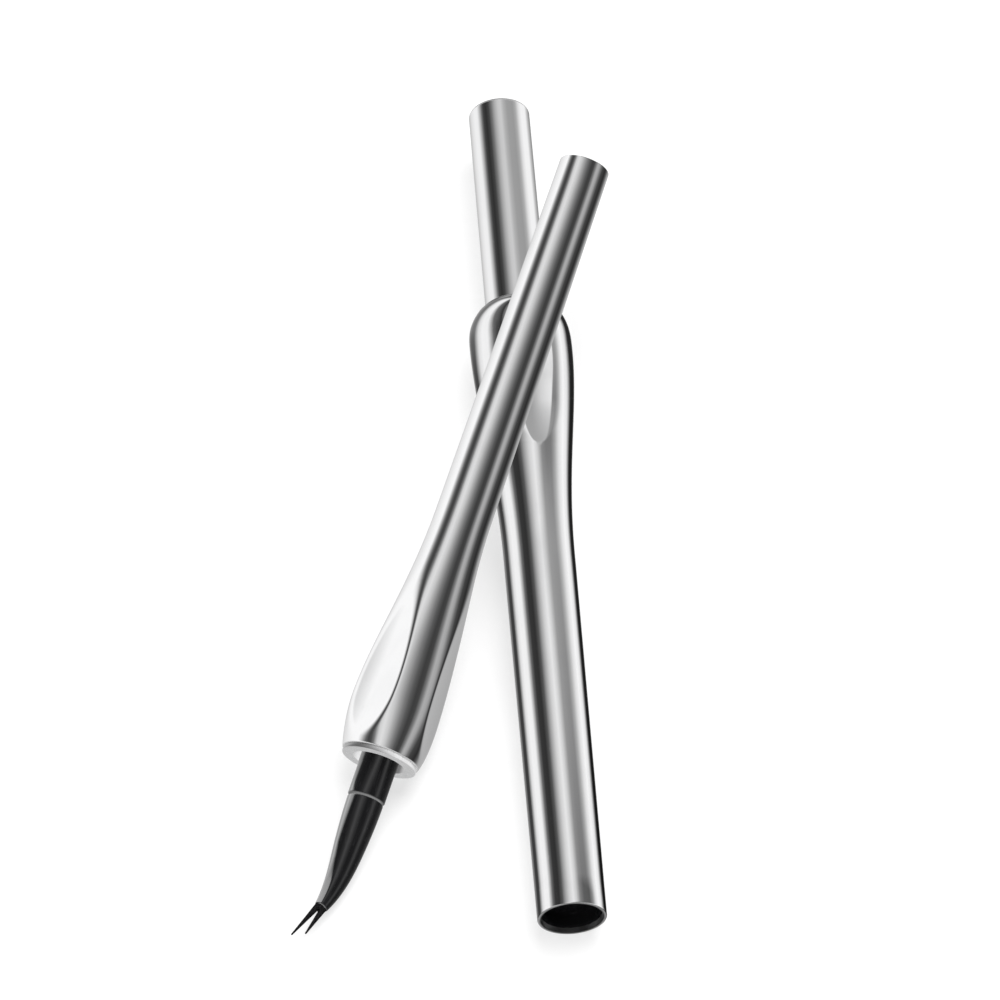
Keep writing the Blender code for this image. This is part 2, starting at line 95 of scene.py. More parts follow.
def newEffect(name, *inputs):
    tree = bpy.data.node_groups.new(name, "ShaderNodeTree")
    tree.interface.new_socket("Place", in_out="INPUT", socket_type="NodeSocketVector")
    for label, value in inputs:
        socket = tree.interface.new_socket(label, in_out="INPUT", socket_type="NodeSocketFloat")
        socket.default_value = value
    tree.interface.new_socket("Mask", in_out="OUTPUT", socket_type="NodeSocketFloat")
    given = tree.nodes.new("NodeGroupInput").outputs
    return tree, given, tree.nodes.new("NodeGroupOutput").inputs["Mask"]


def noise(tree, at, scale, detail, roughness, distortion=0.0):
    return addNode(tree, "ShaderNodeTexNoise", Vector=at, Scale=scale, Detail=detail,
                   Roughness=roughness, Distortion=distortion).outputs[0]


def hairlineEffect():
    # thin broken scratches, drawn out along one direction of the coordinates that come in
    tree, given, mask = newEffect("hairlines", ("Along", 60.0), ("Across", 2200.0),
                                  ("Width", 0.02), ("Cover", 0.5))
    stretch = addNode(tree, "ShaderNodeCombineXYZ", X=given["Across"], Y=given["Across"],
                      Z=given["Along"]).outputs[0]
    scaled = addNode(tree, "ShaderNodeVectorMath", {"operation": "MULTIPLY"})
    place(scaled.inputs[0], given["Place"], tree)
    place(scaled.inputs[1], stretch, tree)
    grain = noise(tree, scaled.outputs[0], 1.0, 1.0, 0.4)
    line = calc(tree, "ABSOLUTE", calc(tree, "SUBTRACT", grain, 0.5))
    line = calc(tree, "SUBTRACT", 1.0, calc(tree, "DIVIDE", line, given["Width"]))
    line = calc(tree, "MAXIMUM", line, 0.0)
    patch = noise(tree, given["Place"], 420.0, 2.0, 0.5)
    kept = calc(tree, "GREATER_THAN", patch, calc(tree, "SUBTRACT", 1.0, given["Cover"]))
    place(mask, calc(tree, "MULTIPLY", line, kept), tree)
    return tree


def hazeEffect():
    # soft smears left by handling, a few millimetres across
    tree, given, mask = newEffect("handlingHaze", ("Scale", 130.0), ("Start", 0.45))
    cloud = noise(tree, given["Place"], given["Scale"], 4.0, 0.55, 0.6)
    place(mask, remap(tree, cloud, given["Start"], 0.75, 0.0, 1.0), tree)
    return tree


def grainEffect():
    # fine grains in a moulded or fibrous surface
    tree, given, mask = newEffect("fineGrain", ("Scale", 3000.0))
    fine = noise(tree, given["Place"], given["Scale"], 3.0, 0.6)
    place(mask, remap(tree, fine, 0.35, 0.65, 0.0, 1.0), tree)
    return tree


hairlines, handlingHaze, fineGrain = hairlineEffect(), hazeEffect(), grainEffect()


def effect(tree, group, at, values):
    made = tree.nodes.new("ShaderNodeGroup")
    made.node_tree = group
    for name, value in {"Place": at, **values}.items():
        place(made.inputs[name], value, tree)
    return made.outputs["Mask"]


def newFinish(name):
    made = bpy.data.materials.new(name)
    made.use_nodes = True
    return made, made.node_tree, made.node_tree.nodes["Principled BSDF"]


def attribute(tree, name, output):
    # "ownPlace" is the place along and across the pencil, kept on each made piece, and "inside" is
    # the mask of painted shade, 1 on the walls of a bore, on the inner half of a rear lip and
    # round the roll of the cap's closed end, and 0 elsewhere, kept on each turned piece
    return addNode(tree, "ShaderNodeAttribute", {"attribute_name": name}).outputs[output]


def objectPlace(tree):
    return tree.nodes.new("ShaderNodeTexCoord").outputs["Object"]


def tint(tree, mask, colours):
    return blendColours(tree, mask, *[(*colour, 1) for colour in colours])


def rougher(tree, base, *masks):
    # a base roughness, and what each mask adds to it
    for mask, amount in masks:
        base = calc(tree, "ADD", base, calc(tree, "MULTIPLY", mask, amount))
    return base


def bumpFrom(tree, shader, height, look):
    bump = addNode(tree, "ShaderNodeBump", Height=height, Distance=look["bumpDepth"],
                   Strength=look["bumpStrength"])
    feed(tree, shader, Normal=bump.outputs["Normal"])


chromeLook = {
    # painted shade: a near-black, rough, non-metal colour stands in for shade in the bore and for
    # dark reflections on lips
    "colours": ((0.93, 0.93, 0.935), (0.9, 0.9, 0.905)), "paintedShadeColour": (0.006, 0.006, 0.006, 1),
    "roughness": 0.028, "hazeDulls": 0.03, "linesDull": 0.16, "paintedShadeRoughness": 0.45,
    "haze": {"Scale": 120.0, "Start": 0.5},
    "lines": {"Along": 90.0, "Across": 2600.0, "Width": 0.012, "Cover": 0.42},
    "bumpDepth": 0.002 * mm, "bumpStrength": 0.25,
}


def chromeFinish():
    # mirror plating outside, and painted shade where the "inside" mask stands: a near-black,
    # rough, non-metal colour on the walls of the bore, and painted dark reflections on rear lips
    # and the cap's end roll
    made, tree, shader = newFinish("mirrorChrome")
    look, at = chromeLook, attribute(tree, "ownPlace", "Vector")
    haze = effect(tree, handlingHaze, at, look["haze"])
    lines = effect(tree, hairlines, at, look["lines"])
    rough = rougher(tree, look["roughness"], (haze, look["hazeDulls"]), (lines, look["linesDull"]))
    # painted shade: where this mask is 1 the chrome turns to a near-black non-metal
    shadeMask = attribute(tree, "inside", "Fac")
    colour = tint(tree, haze, look["colours"])
    feed(tree, shader, Roughness=remap(tree, shadeMask, 0.0, 1.0, rough, look["paintedShadeRoughness"]),
         Base_Color=blendColours(tree, shadeMask, colour, look["paintedShadeColour"]),
         Metallic=calc(tree, "SUBTRACT", 1.0, shadeMask))
    bumpFrom(tree, shader, lines, look)
    return made


satinLook = {
    "colours": ((0.86, 0.86, 0.865), (0.78, 0.78, 0.785)), "roughness": 0.24, "grainDulls": 0.12,
    "grain": {"Scale": 1400.0}, "faceMarks": 26000.0, "boreMarks": 9000.0,
    "bumpDepth": 0.003 * mm, "bumpStrength": 0.3,
}


def satinFinish():
    made, tree, shader = newFinish("satinRing")
    look, at = satinLook, attribute(tree, "ownPlace", "Vector")
    x, y, z = axes(tree, at)
    reach = calc(tree, "SQRT", calc(tree, "ADD", calc(tree, "POWER", x, 2.0),
                                    calc(tree, "POWER", y, 2.0)))
    # turning marks: fine rings on the face, and the same marks down the bore
    turns = calc(tree, "ADD", calc(tree, "MULTIPLY", reach, look["faceMarks"]),
                 calc(tree, "MULTIPLY", z, look["boreMarks"]))
    grain = effect(tree, fineGrain, at, look["grain"])
    feed(tree, shader, Roughness=rougher(tree, look["roughness"], (grain, look["grainDulls"])),
         Base_Color=tint(tree, grain, look["colours"]), Metallic=1.0)
    bumpFrom(tree, shader, calc(tree, "SINE", turns), look)
    return made


blackLook = {
    "colours": ((0.005, 0.005, 0.0055), (0.012, 0.012, 0.013)),
    "roughness": 0.07, "hazeDulls": 0.03, "linesDull": 0.03,
    "haze": {"Scale": 300.0, "Start": 0.42},
    "lines": {"Along": 120.0, "Across": 2400.0, "Width": 0.03, "Cover": 0.5},
    "bumpDepth": 0.0003 * mm, "bumpStrength": 0.1,
}


def blackFinish():
    made, tree, shader = newFinish("glossBlack")
    look, at = blackLook, attribute(tree, "ownPlace", "Vector")
    haze = effect(tree, handlingHaze, at, look["haze"])
    lines = effect(tree, hairlines, at, look["lines"])
    rough = rougher(tree, look["roughness"], (haze, look["hazeDulls"]), (lines, look["linesDull"]))
    feed(tree, shader, Roughness=rough, Base_Color=tint(tree, lines, look["colours"]))
    bumpFrom(tree, shader, lines, look)
    return made


fibreLook = {
    "colours": ((0.004, 0.004, 0.0045), (0.016, 0.0155, 0.016)), "roughness": (0.55, 0.8),
    "strands": {"Along": 260.0, "Across": 9000.0, "Width": 0.12, "Cover": 0.95},
    "bumpDepth": 0.02 * mm, "bumpStrength": 0.6,
}


def fibreFinish():
    made, tree, shader = newFinish("nibFibre")
    look, at = fibreLook, attribute(tree, "ownPlace", "Vector")
    strands = effect(tree, hairlines, at, look["strands"])
    feed(tree, shader, Base_Color=tint(tree, strands, look["colours"]),
         Roughness=remap(tree, strands, 0.0, 1.0, *look["roughness"]))
    bumpFrom(tree, shader, strands, look)
    return made


inkLook = {
    "colours": ((0.05, 0.036, 0.028), (0.025, 0.018, 0.015)), "roughness": (0.9, 0.5),
    "grain": {"Scale": 2600.0}, "damp": {"Scale": 90.0, "Start": 0.4},
    "bumpDepth": 0.04 * mm, "bumpStrength": 0.7,
}


def inkFinish():
    made, tree, shader = newFinish("inkedFibre")
    look, at = inkLook, objectPlace(tree)
    grain = effect(tree, fineGrain, at, look["grain"])
    damp = effect(tree, handlingHaze, at, look["damp"])
    feed(tree, shader, Base_Color=tint(tree, grain, look["colours"]),
         Roughness=remap(tree, damp, 0.0, 1.0, *look["roughness"]))
    bumpFrom(tree, shader, grain, look)
    return made


milkyLook = {
    "colours": ((0.82, 0.82, 0.79), (0.74, 0.74, 0.72)), "roughness": (0.3, 0.42),
    "grain": {"Scale": 1600.0}, "cloud": {"Scale": 110.0, "Start": 0.4},
    "bumpDepth": 0.004 * mm, "bumpStrength": 0.3,
    "glow": 0.25, "glowReach": (0.8 * mm, 0.8 * mm, 0.7 * mm),
}


def milkyFinish():
    made, tree, shader = newFinish("milkyPlastic")
    look, at = milkyLook, objectPlace(tree)
    grain = effect(tree, fineGrain, at, look["grain"])
    cloud = effect(tree, handlingHaze, at, look["cloud"])
    feed(tree, shader, Base_Color=tint(tree, cloud, look["colours"]),
         Roughness=remap(tree, grain, 0.0, 1.0, *look["roughness"]),
         Subsurface_Weight=look["glow"], Subsurface_Radius=look["glowReach"])
    bumpFrom(tree, shader, grain, look)
    return made


finishes = {"chrome": chromeFinish(), "satin_ring": satinFinish(), "black_gloss": blackFinish(),
            "nib_fibre": fibreFinish(), "ink_fibre": inkFinish(), "milky_plastic": milkyFinish()}
print("finishes made")


# ---- turned shapes, with the grip's scoops as a rule

def turningTree():
    # turns a profile (x = radius, z = height) and flattens it where it stands past the scoops
    tree = bpy.data.node_groups.new("turnedShape", "GeometryNodeTree")
    sockets = {}
    for kind, values in (
            ("Geometry", {"Profile": None}), ("Int", {"Columns": 96, "Scoop Count": 3}),
            ("Float", {"Scoop Reach": 1.0, "Scoop Slope": 0.0, "Scoop Rear": 0.0,
                       "Scoop Dish": 0.0, "Scoop Angle": 0.0, "Rear Blunting": 0.0,
                       "Blunting Length": 1.0, "Land Softness": 0.0, "Land Width": 0.0,
                       "Least Half Width": math.pi / 6, "Crowding": 1.0, "Edge Softness": 0.0}),
            ("Material", {"Finish": None})):
        for label, value in values.items():
            sockets[label] = tree.interface.new_socket(label, in_out="INPUT",
                                                       socket_type="NodeSocket" + kind)
            if value is not None:
                sockets[label].default_value = value
    tree.interface.new_socket("Shape", in_out="OUTPUT", socket_type="NodeSocketGeometry")
    given = tree.nodes.new("NodeGroupInput").outputs
    result = tree.nodes.new("NodeGroupOutput").inputs[0]

    def sums(operation, *values):
        return calc(tree, operation, *values)

    def product(*values):
        return sums("MULTIPLY", *values)

    position = tree.nodes.new("GeometryNodeInputPosition").outputs[0]
    rows = addNode(tree, "GeometryNodeAttributeDomainSize", {"component": "MESH"},
                   Geometry=given["Profile"]).outputs["Point Count"]
    grid = addNode(tree, "GeometryNodeMeshGrid", Size_X=1.0, Size_Y=1.0,
                   Vertices_X=sums("ADD", given["Columns"], 1.0), Vertices_Y=rows)
    at = axes(tree, position)
    row = sums("ROUND", product(sums("ADD", at[1], 0.5), sums("SUBTRACT", rows, 1.0)))
    sample = addNode(tree, "GeometryNodeSampleIndex", {"data_type": "FLOAT_VECTOR"},
                     Geometry=given["Profile"], Index=row, Value=position)
    profile = axes(tree, sample.outputs["Value"])
    radius, height = profile[0], profile[2]

    # which scoop, and how far off its middle
    turn = product(sums("ADD", at[0], 0.5), given["Scoop Count"])
    half = sums("DIVIDE", math.pi, given["Scoop Count"])
    side = sums("SUBTRACT", product(sums("FRACT", turn), 2.0), 1.0)
    away = sums("ABSOLUTE", side)

    # how far out the scoop's plane stands at this height, blunted near its rear end
    along = sums("MAXIMUM", height, product(given["Scoop Rear"], -1.0))
    reach = sums("ADD", given["Scoop Reach"], product(given["Scoop Slope"], along))
    ahead = sums("DIVIDE", sums("ADD", along, given["Scoop Rear"]), given["Blunting Length"])
    left = sums("POWER", sums("MAXIMUM", sums("SUBTRACT", 1.0, ahead), 0.0), 2.0)
    bluntPeak = 27 / 4  # makes the highest point of ahead times left 1
    blunt = product(product(ahead, left), product(given["Rear Blunting"], bluntPeak))
    reach = sums("SUBTRACT", reach, blunt)

    # the columns crowd towards the scoop's two edges
    share = sums("MINIMUM", sums("DIVIDE", reach, sums("MAXIMUM", radius, 1e-6)), 1.0)
    rim = sums("ARCCOSINE", share)
    edge = sums("MAXIMUM", rim, given["Least Half Width"])
    inner = sums("SUBTRACT", 1.0, product(away, 2.0))
    inner = sums("SUBTRACT", 1.0, sums("POWER", sums("MAXIMUM", inner, 0.0), given["Crowding"]))
    outer = sums("SUBTRACT", product(away, 2.0), 1.0)
    outer = sums("POWER", sums("MAXIMUM", outer, 0.0), given["Crowding"])
    bend = sums("ADD", product(edge, inner), product(sums("SUBTRACT", half, edge), outer))
    away = product(reach, sums("TANGENT", bend))

    # the land grows along the scoop's rear, and the dish is as wide as scoop and land
    landGrowth = 1.5  # full at two thirds of the blunting's length
    grown = sums("MINIMUM", product(ahead, landGrowth), 1.0)
    grown = product(sums("POWER", grown, 2.0), sums("SUBTRACT", 3.0, product(grown, 2.0)))
    wide = product(reach, sums("TANGENT", rim))
    wide = sums("ADD", wide, product(given["Land Width"], grown))
    dish = sums("SUBTRACT", sums("POWER", wide, 2.0), sums("POWER", away, 2.0))
    dish = product(given["Scoop Dish"], dish)
    level = sums("DIVIDE", reach, sums("COSINE", bend))
    level = sums("ADD", level, sums("LESS_THAN", given["Land Softness"], 1e-6))
    radius = sums("SMOOTH_MIN", radius, level, product(given["Land Softness"], grown))
    flat = sums("DIVIDE", sums("SUBTRACT", reach, dish), sums("COSINE", bend))
    radius = sums("SMOOTH_MIN", radius, flat, given["Edge Softness"])

    middle = product(sums("FLOOR", turn), product(half, 2.0))
    lean = product(bend, sums("SIGN", side))
    angle = sums("ADD", sums("ADD", middle, lean), given["Scoop Angle"])
    spot = addNode(tree, "ShaderNodeCombineXYZ",
                   X=product(radius, product(sums("SINE", angle), -1.0)),
                   Y=product(radius, sums("COSINE", angle)), Z=height).outputs[0]
    shaped = addNode(tree, "GeometryNodeSetPosition", Geometry=grid.outputs["Mesh"],
                     Position=spot).outputs[0]
    joined = addNode(tree, "GeometryNodeMergeByDistance", Geometry=shaped,
                     Distance=1e-6).outputs[0]
    marked = addNode(tree, "GeometryNodeStoreNamedAttribute", {"data_type": "FLOAT_VECTOR"},
                     Geometry=joined, Name="ownPlace", Value=position).outputs[0]
    smooth = addNode(tree, "GeometryNodeSetShadeSmooth", Geometry=marked).outputs[0]
    real = addNode(tree, "GeometryNodeRealizeInstances", Geometry=smooth).outputs[0]
    done = addNode(tree, "GeometryNodeSetMaterial", Geometry=real,
                   Material=given["Finish"]).outputs[0]
    tree.links.new(done, result)
    return tree, {label: socket.identifier for label, socket in sockets.items()}


turnedShape, turnedInput = turningTree()


def outwards(mesh):
    shape = bmesh.new()
    shape.from_mesh(mesh)
    if shape.calc_volume(signed=True) < 0:
        bmesh.ops.reverse_faces(shape, faces=shape.faces)
    shape.to_mesh(mesh)
    shape.free()


def newObject(name, data):
    thing = bpy.data.objects.new(name, data)
    bpy.context.scene.collection.objects.link(thing)
    return thing


def plainMesh(thing):
    # what the object's modifiers make, as a mesh, with the object taken away
    thing.update_tag()
    bpy.context.view_layer.update()
    graph = bpy.context.evaluated_depsgraph_get()
    mesh = bpy.data.meshes.new_from_object(thing.evaluated_get(graph), depsgraph=graph)
    bpy.data.objects.remove(thing)
    return mesh


def settle(name, mesh, pencil, node):
    # the pencil's place goes into the mesh, and the piece then rides on the pencil's body
    mesh.name = name
    mesh.transform(pencil["place"])
    outwards(mesh)
    piece = newObject(name, mesh)
    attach(piece, pencil["body"])
    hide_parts(node)
    return piece


# where painted shade goes: the walls of a bore, the rear lips, and the roll of the cap's closed
# end
paintedShade = {
    "wallFrom": 0.2, "wallFade": 0.5, "lipFrom": 0.2, "lipFade": 0.3, "lipInner": 0.3,
    "lipInnerFade": 0.4, "rollMiddle": 36, "rollWidth": 25, "rollCore": 0.4, "rollShadeDepth": 0.9,
}


def markPaintedShade(mesh):
    # painted shade, by where each point faces: painted shade on a wall that faces inwards, and a
    # painted dark reflection on the inner half of a rear lip, where it faces down
    spots, facing = np.empty((2, len(mesh.vertices) * 3))
    mesh.vertices.foreach_get("co", spots)
    mesh.vertex_normals.foreach_get("vector", facing)
    spots, facing = spots.reshape(-1, 3), facing.reshape(-1, 3)
    reach = np.maximum(np.hypot(spots[:, 0], spots[:, 1]), 1e-9)
    inwards = -(spots[:, :2] * facing[:, :2]).sum(axis=1) / reach
    lip = (np.clip((-facing[:, 2] - paintedShade["lipFrom"]) / paintedShade["lipFade"], 0, 1)
           * np.clip((inwards + paintedShade["lipInner"]) / paintedShade["lipInnerFade"], 0, 1))
    wall = np.clip((inwards - paintedShade["wallFrom"]) / paintedShade["wallFade"], 0, 1)
    inside = mesh.attributes.new("inside", "FLOAT", "POINT")
    inside.data.foreach_set("value", np.maximum(wall, lip).astype(np.float32))


def shadeRoll(mesh, height, radius):
    # a painted dark reflection: a band of painted shade half way round the roll of the cap's
    # closed end
    own, shadeMask = np.empty(len(mesh.vertices) * 3), np.empty(len(mesh.vertices))
    mesh.attributes["ownPlace"].data.foreach_get("vector", own)
    mesh.attributes["inside"].data.foreach_get("value", shadeMask)
    own = own.reshape(-1, 3)
    out, up = np.hypot(own[:, 0], own[:, 1]) - radius, own[:, 2] - height
    off = np.abs(np.degrees(np.arctan2(up, out)) - paintedShade["rollMiddle"])
    rollDarkening = np.clip(1 + paintedShade["rollCore"] - off / paintedShade["rollWidth"], 0, 1)
    rollDarkening = np.where((out > 0) & (up > 0), rollDarkening * paintedShade["rollShadeDepth"], 0)
    mesh.attributes["inside"].data.foreach_set("value", np.maximum(shadeMask, rollDarkening).astype(np.float32))


def turned(name, profile, slot, pencil, node, **inputs):
    line = bpy.data.meshes.new(name + "Profile")
    line.from_pydata([(radius, 0.0, height) for radius, height in profile],
                     [(i, i + 1) for i in range(len(profile) - 1)], [])
    source = newObject(name + "Profile", line)
    turn = source.modifiers.new("turnedShape", "NODES")
    turn.node_group = turnedShape
    for label, value in {"Finish": finishes[slot], **inputs}.items():
        turn[turnedInput[label]] = value
    mesh = plainMesh(source)
    outwards(mesh)
    # painted shade on the bore's walls and a painted dark reflection on the rear lip
    markPaintedShade(mesh)
    return settle(name, mesh, pencil, node)


def corner(radius, height, size, start, stop, steps=5):
    # points of a small rounding, by its centre and the angles it runs between
    return [(radius + size * math.cos(angle), height + size * math.sin(angle))
            for angle in np.linspace(math.radians(start), math.radians(stop), steps)]


# ---- where each pencil lies, read from its straight feed rod, its ring and its end plug

def nodePoints(name):
    return np.array([vertex.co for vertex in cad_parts[name].data.vertices], float)


def pencilPlace(prefix):
    rod = np.unique(nodePoints(prefix + "_wick").round(7), axis=0)
    middle = (rod.min(axis=0) + rod.max(axis=0)) / 2
    rear = nodePoints(prefix + "_end_plug").mean(axis=0)
    ahead = np.linalg.svd(rod - rod.mean(axis=0), full_matrices=False)[2][0]
    if np.dot(ahead, middle - rear) < 0:
        ahead = -ahead
    face = (nodePoints(prefix + "_bushing") @ ahead).max()
    start = middle + ahead * (face - np.dot(middle, ahead))
    axis = Vector(ahead)
    side = Vector((0, 0, 1)).cross(axis).normalized()
    up = axis.cross(side)
    return Matrix(((side.x, up.x, axis.x, start[0]), (side.y, up.y, axis.y, start[1]),
                   (side.z, up.z, axis.z, start[2]), (0, 0, 0, 1)))


pencils = {
    "capped": {
        "body": "capped_pencil", "length": 105.2 * mm, "rear": 5.08 * mm, "barrel": 5.4 * mm,
        "flare": 8.0 * mm, "flareLength": 46.0 * mm, "peak": 8.0 * mm, "ring": 5.7 * mm,
        "scoopFront": 3.7 * mm, "scoopRear": 27.6 * mm, "dish": 32.0, "edgeSoftness": 0.06 * mm,
        "blunting": 0.13 * mm, "landSoftness": 1.5 * mm, "landWidth": 1.2 * mm,
        "bore": 5.1 * mm, "shoulderPower": 3.2, "boreFloor": 2.8 * mm,
        "scoopAngle": math.radians(11.5), "bend": 0.5, "place": pencilPlace("capped"),
    },
    "open": {
        "body": "open_pencil", "length": 100.6 * mm, "rear": 3.9 * mm, "barrel": 4.3 * mm,
        "flare": 7.04 * mm, "flareLength": 43.0 * mm, "peak": 8.5 * mm, "ring": 5.7 * mm,
        "scoopFront": 1.6 * mm, "scoopRear": 27.6 * mm, "dish": 10.0, "edgeSoftness": 0.5 * mm,
        "blunting": 0.0, "landSoftness": 0.0, "landWidth": 0.0,
        "bore": 3.9 * mm, "shoulderPower": 1.8, "boreFloor": 2.3 * mm,
        "scoopAngle": math.radians(34.3), "bend": 1.0, "place": pencilPlace("open"),
    },
}

barrelDetail = {
    "wall": 0.6 * mm, "parting": 0.06 * mm, "lip": 0.16 * mm, "sleeveDepth": 12.3 * mm,
    "sleeveWall": 0.8 * mm, "risePower": 1.25, "columns": 288, "crowding": 1.6, "apexWidth": 0.06,
    "bluntingLength": 12.0 * mm, "rearRow": 4.0 * mm, "middleRow": 60.0 * mm,
    "shoulderPoints": 46, "shoulderStart": 0.04, "shoulderSpacing": 1.5, "flarePoints": 120,
    "barrelPoints": 14,
}
ringDetail = {"thickness": 0.72 * mm, "edge": 0.1 * mm, "sleeve": 0.5 * mm, "depth": 12.0 * mm,
              "boreRow": 6.0 * mm, "columns": 144}


def gripRadius(pencil, depth):
    if depth <= pencil["peak"]:
        drop = (1 - depth / pencil["peak"]) ** pencil["shoulderPower"]
        return pencil["flare"] - (pencil["flare"] - pencil["ring"]) * drop
    if depth <= pencil["flareLength"]:
        share = (pencil["flareLength"] - depth) / (pencil["flareLength"] - pencil["peak"])
        share = share ** barrelDetail["risePower"]
        rise = share * share * (3 - 2 * share)
        return pencil["barrel"] + (pencil["flare"] - pencil["barrel"]) * rise
    share = (depth - pencil["flareLength"]) / (pencil["length"] - pencil["flareLength"])
    return pencil["barrel"] + (pencil["rear"] - pencil["barrel"]) * share


def barrelProfile(pencil):
    detail, peak, length, lip = barrelDetail, pencil["peak"], pencil["length"], barrelDetail["lip"]
    front = ringDetail["thickness"] + detail["parting"]
    bend = lip / 2
    points = corner(gripRadius(pencil, front + bend) - bend, -front - bend, bend, 90, 20)
    spread = np.linspace(detail["shoulderStart"], 1, detail["shoulderPoints"])
    depths = list(front + bend + (peak - front - bend) * spread ** detail["shoulderSpacing"])
    depths += list(np.linspace(peak, pencil["flareLength"], detail["flarePoints"]))[1:]
    depths += list(np.linspace(pencil["flareLength"], length - lip, detail["barrelPoints"]))[1:]
    points += [(gripRadius(pencil, depth), -depth) for depth in depths]
    inner = pencil["rear"] - detail["wall"]
    points += corner(pencil["rear"] - lip, lip - length, lip, 0, -90, 6)[1:]
    points += corner(inner + lip, lip - length, lip, -90, -180, 6)
    pocket = pencil["bore"] + detail["sleeveWall"]
    points += [(inner, detail["rearRow"] - length), (inner, -detail["middleRow"]),
               (inner, -detail["sleeveDepth"]), (pocket, -detail["sleeveDepth"]), (pocket, -front)]
    return points + points[:1]


def buildBarrel(prefix):
    pencil, detail = pencils[prefix], barrelDetail
    front, rear = pencil["scoopFront"], pencil["scoopRear"]
    slope = (gripRadius(pencil, front) - gripRadius(pencil, rear)) / (rear - front)
    return turned(prefix + "Barrel", barrelProfile(pencil), "chrome", pencil, prefix + "_barrel",
                  **{"Columns": detail["columns"], "Scoop Slope": slope, "Scoop Rear": rear,
                     "Scoop Reach": gripRadius(pencil, front) + slope * front,
                     "Scoop Dish": pencil["dish"], "Scoop Angle": pencil["scoopAngle"],
                     "Rear Blunting": pencil["blunting"],
                     "Blunting Length": detail["bluntingLength"],
                     "Land Softness": pencil["landSoftness"], "Land Width": pencil["landWidth"],
                     "Crowding": detail["crowding"], "Least Half Width": detail["apexWidth"],
                     "Edge Softness": pencil["edgeSoftness"]})


def buildRing(prefix):
    pencil, detail = pencils[prefix], ringDetail
    edge, bore, depth, hole = detail["edge"], pencil["bore"], detail["depth"], pencil["boreFloor"]
    outer = bore + detail["sleeve"]
    points = corner(bore + edge, -edge, edge, 180, 90)
    points += corner(pencil["ring"] - edge, -edge, edge, 90, 0)
    points += [(pencil["ring"], -detail["thickness"]), (outer, -detail["thickness"]),
               (outer, -depth), (hole, -depth), (hole, detail["sleeve"] - depth),
               (bore, detail["sleeve"] - depth), (bore, -detail["boreRow"])]
    return turned(prefix + "Ring", points + points[:1], "satin_ring", pencil, prefix + "_bushing",
                  Columns=detail["columns"])


collarDetail = {
    "radius": 2.9 * mm, "show": 5.9 * mm, "edge": 0.14 * mm, "flange": 2.0 * mm, "play": 0.3 * mm,
    "floor": -11.2 * mm, "spigot": 5.0 * mm, "spigotInset": 1.1 * mm, "hole": 1.1 * mm,
    "step": 0.05 * mm, "stepHeight": 0.9 * mm, "socket": 1.5 * mm, "socketDepth": 3.2 * mm,
}


def buildCollar(prefix):
    pencil, detail = pencils[prefix], collarDetail
    radius, show, edge, step = [detail[name] for name in ("radius", "show", "edge", "step")]
    floor, hole, socket = detail["floor"], detail["hole"], detail["socket"]
    wide = pencil["bore"] - detail["play"]
    spigot = pencil["rear"] - barrelDetail["wall"] - detail["spigotInset"]
    points = [(socket, show)]
    points += corner(radius - step - edge, show - edge, edge, 90, 0)
    points += [(radius - step, detail["stepHeight"]), (radius, detail["stepHeight"] - step),
               (radius, floor + detail["flange"]), (wide, floor + detail["flange"]),
               (wide, floor), (spigot, floor), (spigot, floor - detail["spigot"]),
               (hole, floor - detail["spigot"]), (hole, show - detail["socketDepth"]),
               (socket, show - detail["socketDepth"]), (socket, show)]
    return turned(prefix + "Collar", points, "black_gloss", pencil, prefix + "_collar")


# ---- black nose: bent cone with a flat on its side

noseDetail = {
    "root": 6.2 * mm, "end": 24.0 * mm, "bendLength": 10.4 * mm, "radius": 2.75 * mm,
    "endRadius": 1.05 * mm, "fullness": 1.7, "sweep": 1.08 * mm, "sweepPower": 3.0,
    "lift": 1.5 * mm, "liftPower": 1.8, "bendAngle": math.radians(10.7),
    "facetDepth": 0.29, "facetEase": 1.3, "facetAngle": math.radians(40),
    "facetLength": 7.6 * mm, "facetSoftness": 0.05 * mm, "facetOnset": 0.5,
    "edge": 0.16 * mm, "rings": 110, "columns": 96,
    "tail": 0.72 * mm, "tailDepth": 1.5 * mm,  # the socket in its end that the nib stands in
}
noseSide = Vector((-math.cos(noseDetail["bendAngle"]), math.sin(noseDetail["bendAngle"]), 0))
noseTop = Vector((math.sin(noseDetail["bendAngle"]), math.cos(noseDetail["bendAngle"]), 0))


def noseCentre(pencil, height):
    detail = noseDetail
    share = max(0.0, (height - detail["end"] + detail["bendLength"]) / detail["bendLength"])
    sweep = pencil["bend"] * detail["sweep"] * share ** detail["sweepPower"]
    lift = pencil["bend"] * detail["lift"] * share ** detail["liftPower"]
    return noseSide * sweep + noseTop * lift + Vector((0, 0, height))


def noseHeading(pencil, height, step=0.05 * mm):
    return (noseCentre(pencil, height + step) - noseCentre(pencil, height - step)).normalized()


def ringAround(centre, heading, radius, columns):
    across = (noseSide - heading * noseSide.dot(heading)).normalized()
    over = heading.cross(across)
    return [centre + across * (math.cos(angle) * radius) + over * (math.sin(angle) * radius)
            for angle in np.linspace(0, math.tau, columns, endpoint=False)]


